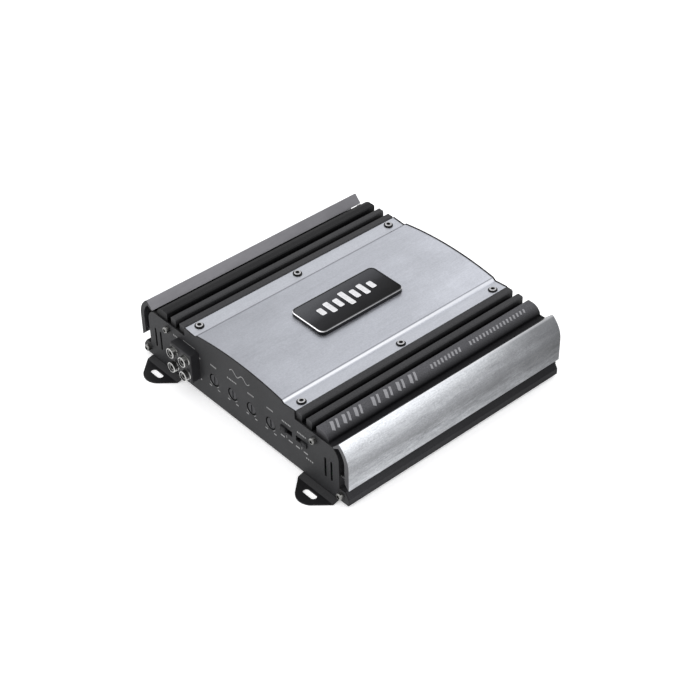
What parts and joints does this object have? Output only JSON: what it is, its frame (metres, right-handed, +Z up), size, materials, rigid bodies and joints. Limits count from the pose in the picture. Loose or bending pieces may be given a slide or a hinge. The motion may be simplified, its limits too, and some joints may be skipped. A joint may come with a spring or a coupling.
{
  "type": "car amplifier",
  "caption": "Low ribbed car audio amplifier with an arched silver cover, curved side trims, slotted feet, phono jacks, controls and screw terminals.",
  "frame": {"origin": "on the surface the feet stand on, under the middle of the case", "axes": "+Z up, +Y along the ribs from the control panel to the power panel, +X to the right of the control panel's viewer"},
  "size_m": [0.2312, 0.2456, 0.0612],
  "materials": {
    "black_aluminium": "black anodised extrusion, satin",
    "brushed_silver": "brushed silver anodised",
    "dark_grey_panel": "dark grey fine-texture paint",
    "black_steel": "black powder coat",
    "chrome": "bright chrome",
    "badge_black": "black brushed plate",
    "nickel": "bright nickel",
    "brass": "plain brass",
    "black_plastic": "moulded black",
    "control_grey": "moulded grey",
    "knob_plastic": "moulded dark grey",
    "slider_plastic": "moulded black",
    "board_green": "solder mask",
    "ferrite": "sintered ferrite",
    "copper": "enamelled copper wire",
    "capacitor_sleeve": "shrink sleeve",
    "thermal_pad": "silicone pad",
    "light_lens": "tinted lens",
    "fuse_plastic": "translucent amber"
  },
  "bodies": {
    "case": {"heatsink": "black_aluminium", "top_cover": "brushed_silver", "cover_screws": "nickel", "cover_washers": "black_steel", "side_trim_left": "brushed_silver", "side_trim_right": "brushed_silver", "control_panel": "dark_grey_panel", "power_panel": "dark_grey_panel", "panel_screws": "nickel", "base_plate": "black_steel", "base_plate_screws": "black_steel", "foot_front_right": "black_steel", "foot_front_left": "black_steel", "foot_rear_right": "black_steel", "foot_rear_left": "black_steel", "foot_screws": "black_steel", "badge_bezel": "chrome", "badge_plate": "badge_black", "badge_emblem": "chrome", "jack_housing": "black_plastic", "jack_shells": "nickel", "jack_insulators": "black_plastic", "jack_contacts": "brass", "control_bodies": "control_grey", "switch_housings": "control_grey", "main_board": "board_green", "board_standoffs": "brass", "board_screws": "nickel", "toroid_core": "ferrite", "toroid_winding": "copper", "rail_capacitors": "capacitor_sleeve", "filter_choke": "copper", "transistors_right": "black_plastic", "transistors_left": "black_plastic", "thermal_pad_right": "thermal_pad", "thermal_pad_left": "thermal_pad", "clamp_bar_right": "nickel", "clamp_bar_left": "nickel", "clamp_screws": "nickel", "control_chips": "black_plastic", "status_lights": "light_lens", "power_terminal_housing": "black_plastic", "speaker_terminal_housing": "black_plastic", "terminal_clamps": "brass", "fuse_holder": "black_plastic"},
    "gain_knob": {"gain_knob": "knob_plastic"},
    "crossover_knob": {"crossover_knob": "knob_plastic"},
    "bass_knob": {"bass_knob": "knob_plastic"},
    "treble_knob": {"treble_knob": "knob_plastic"},
    "switch_slider_left": {"switch_slider_left": "slider_plastic"},
    "switch_slider_right": {"switch_slider_right": "slider_plastic"},
    "power_screw_1": {"power_screw_1": "nickel"},
    "power_screw_2": {"power_screw_2": "nickel"},
    "power_screw_3": {"power_screw_3": "nickel"},
    "speaker_screw_1": {"speaker_screw_1": "nickel"},
    "speaker_screw_2": {"speaker_screw_2": "nickel"},
    "speaker_screw_3": {"speaker_screw_3": "nickel"},
    "speaker_screw_4": {"speaker_screw_4": "nickel"},
    "fuse_left": {"fuse_left": "fuse_plastic"},
    "fuse_right": {"fuse_right": "fuse_plastic"}
  },
  "joints": [
    {"name": "gain_turn", "type": "hinge", "parent": "case", "child": "gain_knob", "pos_m": [-0.0288, -0.1, 0.0246], "axis": [0, -1, 0], "range_deg": [-140, 140]},
    {"name": "crossover_turn", "type": "hinge", "parent": "case", "child": "crossover_knob", "pos_m": [-0.0078, -0.1, 0.0246], "axis": [0, -1, 0], "range_deg": [-140, 140]},
    {"name": "bass_turn", "type": "hinge", "parent": "case", "child": "bass_knob", "pos_m": [0.0132, -0.1, 0.0246], "axis": [0, -1, 0], "range_deg": [-140, 140]},
    {"name": "treble_turn", "type": "hinge", "parent": "case", "child": "treble_knob", "pos_m": [0.0342, -0.1, 0.0246], "axis": [0, -1, 0], "range_deg": [-140, 140]},
    {"name": "switch_left_slide", "type": "slide", "parent": "case", "child": "switch_slider_left", "axis": [1, 0, 0], "range_m": [0, 0.0062]},
    {"name": "switch_right_slide", "type": "slide", "parent": "case", "child": "switch_slider_right", "axis": [1, 0, 0], "range_m": [-0.0062, 0]},
    {"name": "power_screw_1_turn", "type": "hinge", "parent": "case", "child": "power_screw_1", "pos_m": [0.045, 0.10845, 0.0306], "axis": [0, 0, 1], "range_deg": [0, 1080]},
    {"name": "power_screw_2_turn", "type": "hinge", "parent": "case", "child": "power_screw_2", "pos_m": [0.058, 0.10845, 0.0306], "axis": [0, 0, 1], "range_deg": [0, 1080]},
    {"name": "power_screw_3_turn", "type": "hinge", "parent": "case", "child": "power_screw_3", "pos_m": [0.071, 0.10845, 0.0306], "axis": [0, 0, 1], "range_deg": [0, 1080]},
    {"name": "speaker_screw_1_turn", "type": "hinge", "parent": "case", "child": "speaker_screw_1", "pos_m": [-0.07025, 0.10845, 0.0266], "axis": [0, 0, 1], "range_deg": [0, 1080]},
    {"name": "speaker_screw_2_turn", "type": "hinge", "parent": "case", "child": "speaker_screw_2", "pos_m": [-0.06075, 0.10845, 0.0266], "axis": [0, 0, 1], "range_deg": [0, 1080]},
    {"name": "speaker_screw_3_turn", "type": "hinge", "parent": "case", "child": "speaker_screw_3", "pos_m": [-0.05125, 0.10845, 0.0266], "axis": [0, 0, 1], "range_deg": [0, 1080]},
    {"name": "speaker_screw_4_turn", "type": "hinge", "parent": "case", "child": "speaker_screw_4", "pos_m": [-0.04175, 0.10845, 0.0266], "axis": [0, 0, 1], "range_deg": [0, 1080]},
    {"name": "fuse_left_pull", "type": "slide", "parent": "case", "child": "fuse_left", "axis": [0, 1, 0], "range_m": [0, 0.014]},
    {"name": "fuse_right_pull", "type": "slide", "parent": "case", "child": "fuse_right", "axis": [0, 1, 0], "range_m": [0, 0.014]}
  ]
}
